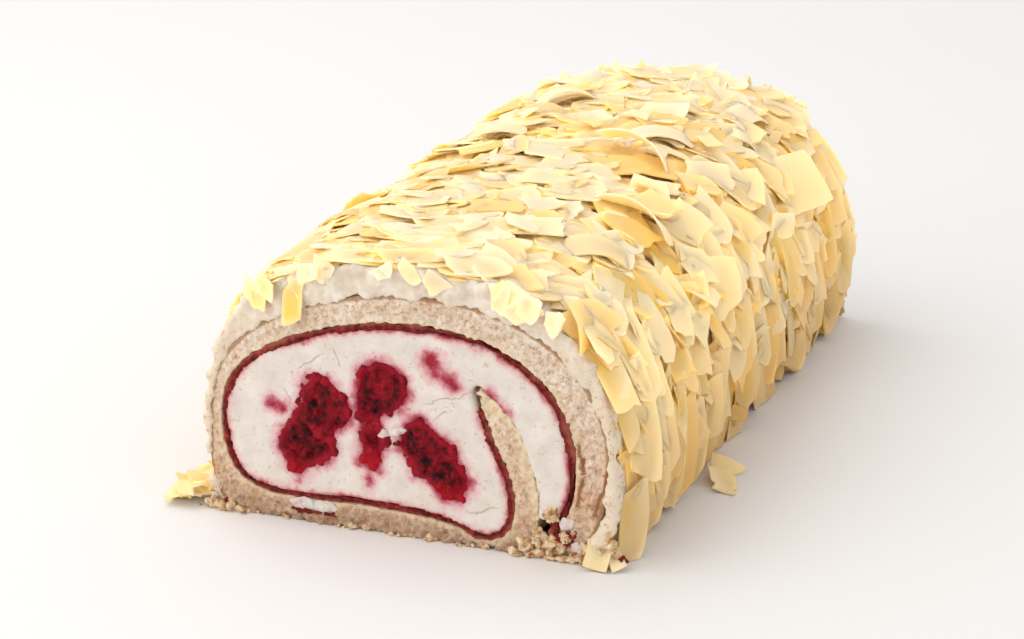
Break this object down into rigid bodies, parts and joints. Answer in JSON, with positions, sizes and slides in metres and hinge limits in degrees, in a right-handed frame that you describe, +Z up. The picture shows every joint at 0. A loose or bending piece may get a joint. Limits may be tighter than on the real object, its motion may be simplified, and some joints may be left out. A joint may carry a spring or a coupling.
{
  "type": "swiss roll cake",
  "caption": "Swiss roll cake of sponge and jam rolled round whipped cream and crushed berries, in a cream coat covered with white chocolate shavings, cut across at each end.",
  "frame": {"origin": "middle of the base that the cake stands on", "axes": "+X across the roll, +Y along the roll away from the front cut, +Z up"},
  "size_m": [0.1148, 0.18, 0.0714],
  "materials": {
    "sponge": "matt",
    "jam": "glossy",
    "cream": "satin",
    "berries": "moist",
    "white_chocolate": "satin"
  },
  "bodies": {
    "root": {"sponge": "sponge", "jam": "jam", "cream_filling": "cream", "berries_left": "berries", "berries_middle": "berries", "berries_right": "berries", "cream_coat": "cream", "chocolate_shavings": "white_chocolate"}
  },
  "joints": []
}
